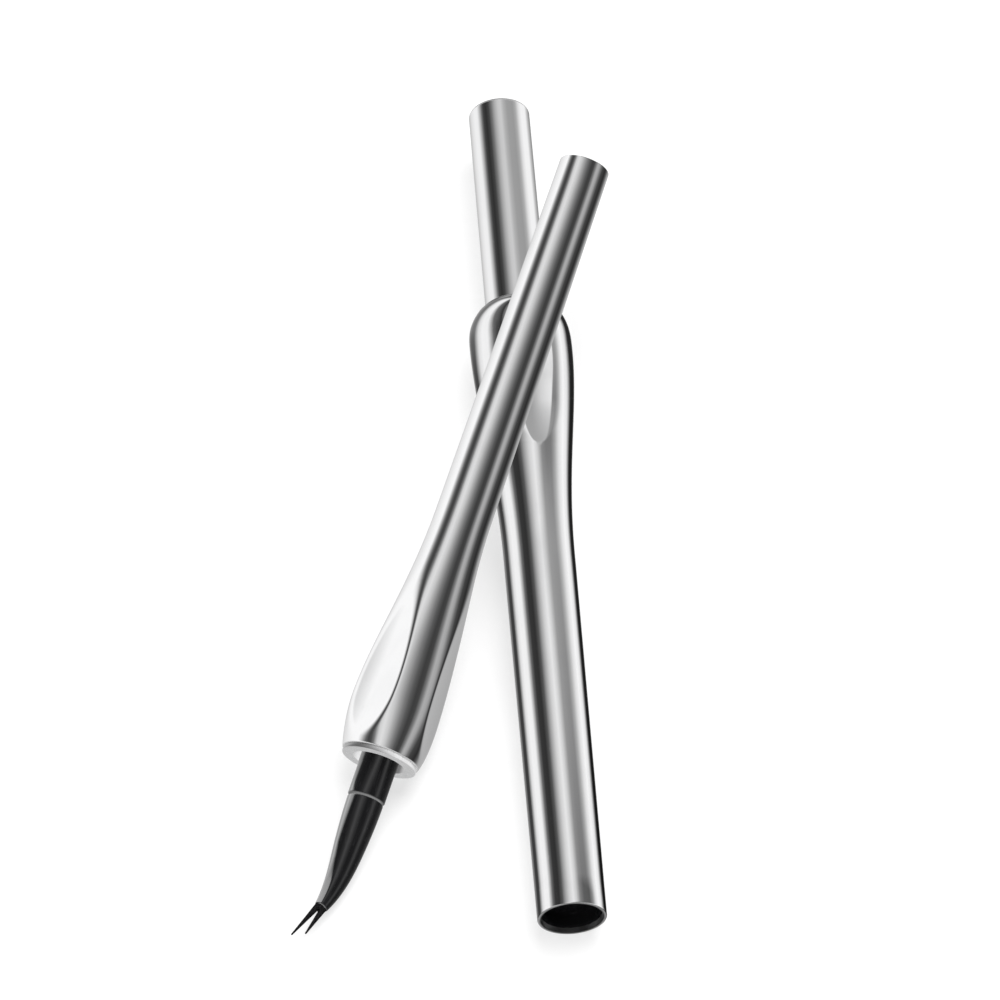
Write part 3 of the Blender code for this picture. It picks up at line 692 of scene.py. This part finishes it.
def loft(name, rings):
    # skin over rings of equal count, with a fan at each end that closes it
    columns = len(rings[0])
    points = [point for ring in rings for point in ring]
    faces = [(row * columns + i, row * columns + (i + 1) % columns,
              (row + 1) * columns + (i + 1) % columns, (row + 1) * columns + i)
             for row in range(len(rings) - 1) for i in range(columns)]
    for ring, first in ((rings[0], 0), (rings[-1], (len(rings) - 1) * columns)):
        middle = len(points)
        points.append(sum(ring, Vector()) / columns)
        order = [(first + i, first + (i + 1) % columns) for i in range(columns)]
        faces += [(a, b, middle) if first else (b, a, middle) for a, b in order]
    mesh = bpy.data.meshes.new(name)
    mesh.from_pydata(points, [], faces)
    shape = bmesh.new()
    shape.from_mesh(mesh)
    bmesh.ops.remove_doubles(shape, verts=shape.verts, dist=1e-6)
    bmesh.ops.recalc_face_normals(shape, faces=shape.faces)
    shape.to_mesh(mesh)
    shape.free()
    return mesh


def lofted(name, mesh, slot, pencil, node):
    mesh.materials.append(finishes[slot])
    mesh.shade_smooth()
    own = mesh.attributes.new("ownPlace", "FLOAT_VECTOR", "POINT")
    own.data.foreach_set("vector", [number for vertex in mesh.vertices for number in vertex.co])
    return settle(name, mesh, pencil, node)


def facetFlatten(point, centre, radius, height):
    # the flat starts from nothing and deepens towards the tip
    detail = noseDetail
    facing = Vector((-math.sin(detail["facetAngle"]), math.cos(detail["facetAngle"]), 0))
    share = max(0.0, 1 - (detail["end"] - height) / detail["facetLength"])
    reach = radius * (1 - detail["facetDepth"] * share ** detail["facetEase"])
    over = (point - centre).dot(facing) - reach
    over = (over + math.hypot(over, 2 * detail["facetSoftness"])) / 2  # a soft edge, no jags
    return point - facing * over * min(1.0, share / detail["facetOnset"])


def buildNose(prefix):
    pencil, detail = pencils[prefix], noseDetail
    root, end, edge, wide, narrow = [detail[name] for name in (
        "root", "end", "edge", "radius", "endRadius")]
    rings = []
    heights = list(root + edge * (1 - np.cos(np.linspace(0.1, math.pi / 2, 6))))
    heights += list(np.linspace(heights[-1], end - edge, detail["rings"]))[1:]
    for height in heights:
        share = (height - root) / (end - root)
        below = max(0.0, edge - (height - root))
        radius = (wide - (wide - narrow) * share ** detail["fullness"]
                  - edge + math.sqrt(max(0.0, edge ** 2 - below ** 2)))
        centre = noseCentre(pencil, height)
        ring = ringAround(centre, noseHeading(pencil, height), radius, detail["columns"])
        rings.append([facetFlatten(point, centre, radius, height) for point in ring])
    last, heading = rings[-1], noseHeading(pencil, end)
    for angle in np.linspace(0.3, math.pi / 2, 5):
        shrink = 1 - edge * (1 - math.cos(angle)) / narrow
        ahead = heading * (edge * math.sin(angle))
        rings.append([centre + (point - centre) * shrink + ahead for point in last])
    tip = noseCentre(pencil, end)
    for depth in (0.0, detail["tailDepth"]):
        rings.append(ringAround(tip - heading * depth, heading, detail["tail"], detail["columns"]))
    return lofted(prefix + "Nose", loft("nose", rings), "black_gloss", pencil, prefix + "_nose")


nibDetail = {
    "show": 0.6 * mm, "stem": 0.6 * mm, "stemDepth": 3.0 * mm, "rootRadius": 0.54 * mm,
    "tipRadius": 0.13 * mm, "taper": 0.9, "rootSpread": 0.42 * mm, "tipSpread": 0.74 * mm,
    "longProng": 5.8 * mm, "shortProng": 4.35 * mm, "turn": math.radians(0.3),
    "pointAhead": 0.8, "pointWidth": 0.45, "steps": 22, "stemSteps": 12, "columns": 24,
    "voxel": 0.035 * mm, "smoothing": 0.5, "smoothingPasses": 3,
}


def prong(mouth, ahead, side, length, spread):
    # side carries the prong's sense, and spread how far apart this pencil's prongs stand
    detail, tip = nibDetail, nibDetail["tipRadius"]
    root = mouth - ahead * detail["rootRadius"] * 2 + side * detail["rootSpread"] * spread
    end = mouth + ahead * length + side * detail["tipSpread"] * spread
    heading = (end - root).normalized()
    rings = [ringAround(root.lerp(end, share), heading, detail["rootRadius"]
                        + (tip - detail["rootRadius"]) * share ** detail["taper"],
                        detail["columns"]) for share in np.linspace(0, 1, detail["steps"])]
    rings.append(ringAround(end + heading * tip * detail["pointAhead"], heading,
                            tip * detail["pointWidth"], detail["columns"]))
    return loft("prong", rings)


def buildNib(prefix):
    pencil, detail = pencils[prefix], nibDetail
    end, tip = noseDetail["end"], noseDetail["end"] + detail["show"]
    mouth = noseCentre(pencil, tip)
    straight = (mouth - noseCentre(pencil, end)).normalized()
    across = (noseSide - straight * noseSide.dot(straight)).normalized()
    turn = detail["turn"] * pencil["bend"]
    ahead = straight * math.cos(turn) + across * math.sin(turn)
    side = across * math.cos(turn) - straight * math.sin(turn)
    meshes = [loft("stem", [ringAround(noseCentre(pencil, height), noseHeading(pencil, height),
                                       detail["stem"], detail["columns"])
                            for height in np.linspace(end - detail["stemDepth"], tip,
                                                      detail["stemSteps"])]),
              prong(mouth, ahead, side, detail["longProng"], pencil["bend"]),
              prong(mouth, ahead, -side, detail["shortProng"], pencil["bend"])]
    whole = bmesh.new()
    for mesh in meshes:
        whole.from_mesh(mesh)
        bpy.data.meshes.remove(mesh)
    joined = bpy.data.meshes.new(prefix + "NibForm")
    whole.to_mesh(joined)
    whole.free()
    rough = newObject(prefix + "NibForm", joined)
    skin = rough.modifiers.new("skin", "REMESH")
    skin.mode, skin.voxel_size = "VOXEL", detail["voxel"]
    even = rough.modifiers.new("even", "SMOOTH")
    even.factor, even.iterations = detail["smoothing"], detail["smoothingPasses"]
    mesh = plainMesh(rough)
    mesh.materials.clear()
    return lofted(prefix + "Nib", mesh, "nib_fibre", pencil, prefix + "_nib")


plugDetail = {"recess": 0.7 * mm, "dish": 2.0 * mm, "rim": 0.6 * mm, "length": 6.0 * mm,
              "gap": 0.06 * mm, "edge": 0.15 * mm, "dishEdge": 0.4 * mm, "stemShare": 0.6,
              "stemEnd": 11.7 * mm}


def buildPlug(prefix):
    pencil, detail = pencils[prefix], plugDetail
    radius = pencil["rear"] - barrelDetail["wall"] - detail["gap"]
    mouth, top = detail["recess"] - pencil["length"], detail["stemEnd"] - pencil["length"]
    edge, soft, stem = detail["edge"], detail["dishEdge"], radius * detail["stemShare"]
    hollow = radius - detail["rim"] - edge
    points = [(0.0, top), (stem, top), (stem, mouth + detail["length"]),
              (radius, mouth + detail["length"])]
    points += corner(radius - edge, mouth + edge, edge, 0, -90)
    points += corner(radius - detail["rim"] + edge, mouth + edge, edge, -90, -180)
    points += corner(hollow - soft, mouth + detail["dish"] - soft, soft, 0, 90)
    points.append((0.0, mouth + detail["dish"]))
    return turned(prefix + "Plug", points, "black_gloss", pencil, prefix + "_end_plug")


capDetail = {
    "radius": 4.8 * mm, "length": 37.7 * mm, "wall": 0.7 * mm, "end": 1.0 * mm, "edge": 0.6 * mm,
    "insert": 5.0 * mm, "lip": 0.2 * mm, "rowInset": 1.0 * mm, "rows": 12, "columns": 216,
    "linerGap": 0.3 * mm, "linerWall": 0.5 * mm, "linerSetback": 1.5 * mm, "linerCrown": 5.2 * mm,
    "linerEdge": 0.1 * mm,
}


def buildCap():
    detail, pencil = capDetail, {**pencils["capped"], "body": "cap"}
    radius, length, lip, edge = [detail[name] for name in ("radius", "length", "lip", "edge")]
    inner, mouth, inset = radius - detail["wall"], -detail["insert"], detail["rowInset"]
    shell = [(0.0, length), (radius - 2 * edge, length)]
    shell += corner(radius - edge, length - edge, edge, 90, 0, 12)
    shell += [(radius, height)
              for height in np.linspace(length - inset, mouth + inset, detail["rows"])]
    shell += corner(radius - lip, mouth + lip, lip, 0, -90)
    shell += corner(inner + lip, mouth + lip, lip, -90, -180)
    shell += [(inner, length - detail["end"]), (0.0, length - detail["end"])]
    cap = turned("capShell", shell, "chrome", pencil, "cap_shell",
                 Columns=detail["columns"])
    # a painted dark reflection round the roll of the cap's closed end
    shadeRoll(cap.data, length - edge, radius - edge)
    outer, soft = inner - detail["linerGap"], detail["linerEdge"]
    inside = outer - detail["linerWall"]
    foot = mouth + detail["linerSetback"]
    top = length - detail["end"] - detail["linerGap"]
    crown = top - detail["linerCrown"]
    liner = [(0.0, top), (outer, top), (outer, foot + soft), (outer - soft, foot),
             (inside + soft, foot), (inside, foot + soft), (inside, crown), (0.0, crown)]
    return {"shell": cap,
            "liner": turned("capLiner", liner, "milky_plastic", pencil, "cap_liner")}


builders = {"barrel": buildBarrel, "ring": buildRing, "collar": buildCollar, "nose": buildNose,
            "nib": buildNib, "plug": buildPlug}
pieces = {prefix: {label: build(prefix) for label, build in builders.items()}
          for prefix in pencils}
pieces["cap"] = buildCap()
for group in pieces.values():
    counts = [f"{piece.name} {len(piece.data.polygons)}" for piece in group.values()]
    print(", ".join(counts), "faces")

# the CAD's own feed rods, ink rods and tanks stay as they are, with these finishes
for node, slot in (("wick", "nib_fibre"), ("reservoir", "ink_fibre"), ("tank", "milky_plastic")):
    for prefix in pencils:
        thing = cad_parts[f"{prefix}_{node}"]
        thing.data.materials.clear()
        thing.data.materials.append(finishes[slot])


# ---- studio

studio = {
    "floorSize": 8.0, "floorHeight": -0.02 * mm, "floorColour": (0.9, 0.9, 0.9, 1),
    "floorOwnLight": 0.65, "worldSeen": 1.0, "worldLight": 0.45, "worldMirrored": 0.92,
    "tubeRadius": 0.6, "tubeStep": 0.002, "tubeHeight": 0.01, "tubeLength": 12.0,
    "tubeSides": 180, "dimAheadFrom": 2.0, "dimAheadTo": 5.0, "dimAhead": 0.5,
    # each lamp's place, size and power
    "lamps": {"overhead": ((0.3, 0.4, 1.4), 1.2, 26), "front": ((-0.9, -0.9, 1.0), 0.9, 9)},
    "cameraAim": (6.92 * mm, -0.425 * mm, 8 * mm), "cameraRise": math.radians(57),
    "cameraDistance": 0.842, "lens": 200, "sensor": 36,
}
white = (1, 1, 1, 1)


def plainFinish(name):
    made = bpy.data.materials.new(name)
    made.use_nodes = True
    made.node_tree.nodes.clear()
    out = made.node_tree.nodes.new("ShaderNodeOutputMaterial")
    return made, made.node_tree, out.inputs["Surface"]


def mirrored(tree, path):
    return calc(tree, "MAXIMUM", path["Is Glossy Ray"], path["Is Transmission Ray"])


def buildFloor():
    finish, tree, surface = plainFinish("paleFloor")
    matt = addNode(tree, "ShaderNodeBsdfDiffuse", Color=studio["floorColour"]).outputs[0]
    glow = addNode(tree, "ShaderNodeEmission", Color=white, Strength=1.0).outputs[0]
    path = tree.nodes.new("ShaderNodeLightPath").outputs
    seen = calc(tree, "MAXIMUM", path["Is Camera Ray"], mirrored(tree, path))
    mix = tree.nodes.new("ShaderNodeMixShader")
    for socket, value in zip(mix.inputs, (calc(tree, "MULTIPLY", seen, studio["floorOwnLight"]),
                                          matt, glow)):
        place(socket, value, tree)
    place(surface, mix.outputs[0], tree)
    half, height = studio["floorSize"] / 2, studio["floorHeight"]
    mesh = bpy.data.meshes.new("floor")
    mesh.from_pydata([(-half, -half, height), (half, -half, height), (half, half, height),
                      (-half, half, height)], [], [(0, 1, 2, 3)])
    mesh.materials.append(finish)
    floor = newObject("floor", mesh)
    floor.visible_glossy = False  # the chrome sees its cards there


def buildWorld():
    world = bpy.data.worlds.new("studio")
    bpy.context.scene.world = world
    world.use_nodes = True
    tree = world.node_tree
    tree.nodes.clear()
    path = tree.nodes.new("ShaderNodeLightPath").outputs
    seen = calc(tree, "MULTIPLY", path["Is Camera Ray"], studio["worldSeen"])
    shone = calc(tree, "MULTIPLY", mirrored(tree, path), studio["worldMirrored"])
    strength = calc(tree, "MAXIMUM", calc(tree, "MAXIMUM", seen, shone), studio["worldLight"])
    sky = addNode(tree, "ShaderNodeBackground", Color=white, Strength=strength)
    out = tree.nodes.new("ShaderNodeOutputWorld")
    place(out.inputs["Surface"], sky.outputs[0], tree)


# what stands around each pencil and shows in its shine alone, as the degrees off straight
# overhead towards the right and the brightness there: white cards with black flags between them.
# "far" takes over from "near" between farFrom and farTo metres ahead. "close" stands in for
# "near" up to closeFrom and gives way to it by closeTo
cappedLeft = [(-180, 0.4), (-155, 0.25), (-138, 0.045), (-122, 0.05), (-114, 0.35), (-105, 0.78),
              (-92, 0.95), (-76, 0.93), (-68, 0.5), (-61, 0.15), (-52, 0.04), (-38, 0.032),
              (-27, 0.1), (-16, 0.4), (-5, 0.68), (7, 0.86)]
surroundings = {
    "black": {
        "near": [(-180, 0.4), (-160, 0.8), (-124, 2.2), (-106, 2.6), (-94, 0.3), (-78, 0.15),
                 (-50, 0.1), (-30, 0.4), (-14, 1.2), (4, 0.5), (20, 0.1), (45, 0.15), (66, 1.0),
                 (84, 0.25), (100, 0.1), (140, 0.3), (170, 0.4)],
        "far": [(-180, 0.4), (-160, 0.8), (-124, 2.2), (-110, 4.6), (-74, 4.6), (-62, 0.6),
                (-30, 0.4), (-14, 1.2), (4, 0.5), (45, 0.15), (66, 1.0), (84, 0.25), (140, 0.3),
                (170, 0.4)],
        "farFrom": 0.207, "farTo": 0.282},
    "ring": {
        "near": [(-180, 0.62), (-130, 0.6), (-105, 0.25), (-60, 0.12), (-20, 0.3), (20, 0.7),
                 (60, 1.0), (120, 1.0), (150, 0.7)]},
    "cap": {
        "near": [(-180, 0.5), (-150, 0.6), (-130, 0.8), (-108, 0.93), (-92, 0.92), (-80, 0.5),
                 (-71, 0.17), (-64, 0.055), (-53, 0.03), (-41, 0.06), (-30, 0.19), (-19, 0.42),
                 (-7, 0.6), (3, 0.64), (14, 0.47), (27, 0.36), (50, 0.34), (62, 0.44), (77, 0.8),
                 (90, 0.96), (114, 0.95), (128, 0.6), (140, 0.42), (150, 0.3)]},
    "open": {
        "near": [(-180, 0.5), (-150, 0.75), (-125, 0.85), (-85, 1.0), (-73, 1.02), (-59, 0.34),
                 (-52, 0.13), (-44, 0.055), (-37, 0.07), (-30, 0.2), (-21, 0.68), (-12, 0.78),
                 (0, 0.6), (10, 0.38), (20, 0.21), (30, 0.105), (41, 0.05), (50, 0.06), (58, 0.2),
                 (66, 0.44), (74, 0.4), (84, 0.17), (93, 0.06), (112, 0.025), (124, 0.1),
                 (142, 0.4), (160, 0.47)]},
    "capped": {
        "near": cappedLeft + [
            (17, 0.68), (30, 0.34), (44, 0.28), (56, 0.25), (68, 0.42), (82, 0.8), (97, 1.0),
            (112, 0.85), (123, 0.25), (129, 0.03), (136, 0.006), (152, 0.006), (168, 0.15)],
        "close": cappedLeft + [
            (17, 0.66), (29, 0.24), (42, 0.12), (62, 0.105), (74, 0.3), (85, 0.76), (97, 1.0),
            (112, 0.85), (123, 0.25), (129, 0.02), (136, 0.003), (152, 0.003), (168, 0.15)],
        "closeFrom": 0.21, "closeTo": 0.3,
        "far": [(-180, 0.4), (-155, 0.3), (-138, 0.18), (-122, 0.2), (-105, 0.78), (-92, 0.95),
                (-76, 0.93), (-61, 0.15), (-38, 0.032), (-20, 0.3), (0, 0.42), (40, 0.38),
                (60, 0.4), (82, 0.8), (97, 1.0), (112, 0.85), (123, 0.25), (129, 0.03),
                (136, 0.02), (152, 0.02), (168, 0.15)],
        "farFrom": 0.3, "farTo": 0.48},
}


def tube(name, radius, finish):
    # a long tube around the pencils, open at both ends, with the share of a turn kept on it,
    # which only the shine of pieces sees
    mesh = bpy.data.meshes.new(name)
    sides, long = studio["tubeSides"], studio["tubeLength"] / 2
    points = []
    for i in range(sides + 1):
        angle = math.tau * i / sides - math.pi
        x, z = radius * math.sin(angle), studio["tubeHeight"] + radius * math.cos(angle)
        points += [(x, -long, z), (x, long, z)]
    mesh.from_pydata(points, [], [(2 * i, 2 * i + 1, 2 * i + 3, 2 * i + 2) for i in range(sides)])
    around = mesh.attributes.new("around", "FLOAT", "POINT")
    around.data.foreach_set("value", [i // 2 / sides for i in range(len(points))])
    mesh.materials.append(finish)
    thing = newObject(name, mesh)
    thing.visible_camera = thing.visible_diffuse = thing.visible_shadow = False
    thing.visible_transmission = thing.visible_volume_scatter = False
    return thing


def cardRamp(tree, around, cards):
    ramp = addNode(tree, "ShaderNodeValToRGB", Fac=around)
    stops = ramp.color_ramp.elements
    for number, (angle, shade) in enumerate(cards):
        position = (angle + 180) / 360
        stop = stops[number] if number < 2 else stops.new(position)
        stop.position, stop.color = position, (shade, shade, shade, 1)
    return ramp.outputs["Color"]


def buildSurround(prefix, shown, radius):
    finish, tree, surface = plainFinish(prefix + "Cards")
    finish.cycles.emission_sampling = "NONE"
    around = attribute(tree, "around", "Fac")
    along = axes(tree, objectPlace(tree))[1]
    cards = surroundings[prefix]
    shade = cardRamp(tree, around, cards["near"])
    for name, before, beyond in (("close", 1.0, 0.0), ("far", 0.0, 1.0)):
        if name in cards:
            share = remap(tree, along, cards[name + "From"], cards[name + "To"], before, beyond)
            shade = blendColours(tree, share, shade, cardRamp(tree, around, cards[name]))
    dimmed = remap(tree, along, studio["dimAheadFrom"], studio["dimAheadTo"], 1.0,
                   studio["dimAhead"])
    glow = addNode(tree, "ShaderNodeEmission", Color=shade, Strength=dimmed)
    mix = tree.nodes.new("ShaderNodeAddShader")
    place(mix.inputs[0], glow.outputs[0], tree)
    place(mix.inputs[1], tree.nodes.new("ShaderNodeBsdfTransparent").outputs[0], tree)
    place(surface, mix.outputs[0], tree)
    lit = bpy.data.collections.new(prefix + "Chrome")
    for piece in shown:
        lit.objects.link(piece)
    tube(prefix + "Surround", radius, finish).light_linking.receiver_collection = lit


def buildBacking():
    finish, tree, surface = plainFinish("blackBacking")
    matt = addNode(tree, "ShaderNodeBsdfDiffuse", Color=(0, 0, 0, 1))
    place(surface, matt.outputs[0], tree)
    tube("backing", studio["tubeRadius"] + studio["tubeStep"] * len(surroundings), finish)


def buildLamps():
    for name, (at, size, power) in studio["lamps"].items():
        light = bpy.data.lights.new(name, "AREA")
        light.shape, light.size, light.energy = "DISK", size, power
        thing = newObject(name, light)
        thing.location = at
        thing.rotation_euler = (-Vector(at)).to_track_quat("-Z", "Y").to_euler()
        thing.visible_glossy = False


def buildCamera():
    rise = studio["cameraRise"]
    away = Vector((0, -math.cos(rise), math.sin(rise)))
    view = bpy.data.cameras.new("camera")
    view.lens, view.sensor_width, view.clip_start = studio["lens"], studio["sensor"], 0.01
    thing = newObject("camera", view)
    thing.location = Vector(studio["cameraAim"]) + away * studio["cameraDistance"]
    thing.rotation_euler = (math.pi / 2 - rise, 0, 0)
    bpy.context.scene.camera = thing


buildFloor()
buildWorld()
shining = {
    **{prefix: [pieces[prefix]["barrel"]] for prefix in pencils},
    "cap": pieces["cap"].values(), "ring": [pieces[prefix]["ring"] for prefix in pencils],
    "black": [pieces[prefix][label] for prefix in pencils for label in ("collar", "nose")],
}
for step, prefix in enumerate(surroundings):
    buildSurround(prefix, shining[prefix], studio["tubeRadius"] + studio["tubeStep"] * step)
# each shows its own cards alone, and never the other pieces
everyPiece = [piece for group in pieces.values() for piece in group.values()]
for piece in everyPiece + list(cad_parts.values()):
    piece.visible_glossy = False
buildBacking()
buildLamps()
buildCamera()
bpy.context.scene.view_settings.view_transform = "Standard"
print("studio set")
